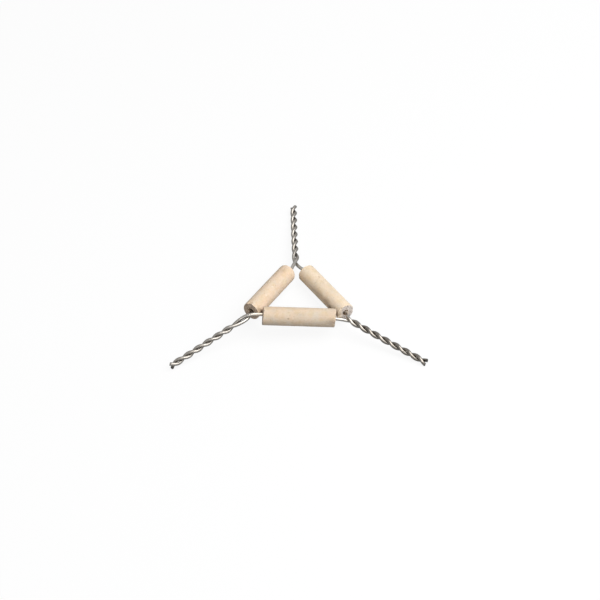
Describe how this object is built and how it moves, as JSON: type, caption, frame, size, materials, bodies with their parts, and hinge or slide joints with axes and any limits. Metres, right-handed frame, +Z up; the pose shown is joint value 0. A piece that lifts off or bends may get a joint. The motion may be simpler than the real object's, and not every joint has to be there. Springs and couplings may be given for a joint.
{
  "type": "pipe clay triangle",
  "caption": "Wire triangle strung with loose fireclay tubes, its wires twisted together into legs at the corners; holds a crucible over a burner.",
  "frame": {"origin": "on the bench, under the centre of the outline", "axes": "+X to the right along the front tube, +Y to the back tail, +Z up from the bench"},
  "size_m": [0.135, 0.1208, 0.019],
  "materials": {
    "fireclay": "matt, unglazed, slightly pitted",
    "steel_wire": "drawn, semi-bright"
  },
  "bodies": {
    "wire_frame": {"wire_front": "steel_wire", "wire_left": "steel_wire", "wire_right": "steel_wire"},
    "front_tube": {"clay_tube_front": "fireclay"},
    "left_tube": {"clay_tube_left": "fireclay"},
    "right_tube": {"clay_tube_right": "fireclay"}
  },
  "joints": [
    {"name": "front_tube_spin", "type": "hinge", "parent": "wire_frame", "child": "front_tube", "pos_m": [0.00062, -0.03455, 0.01275], "axis": [-0.9976, 0.01, 0.0684], "continuous": true},
    {"name": "left_tube_spin", "type": "hinge", "parent": "wire_frame", "child": "left_tube", "pos_m": [-0.01453, -0.01306, 0.0097], "axis": [0.5102, 0.8482, -0.1419], "continuous": true},
    {"name": "right_tube_spin", "type": "hinge", "parent": "wire_frame", "child": "right_tube", "pos_m": [0.01557, -0.01232, 0.00763], "axis": [0.5107, -0.8569, 0.0705], "continuous": true}
  ]
}
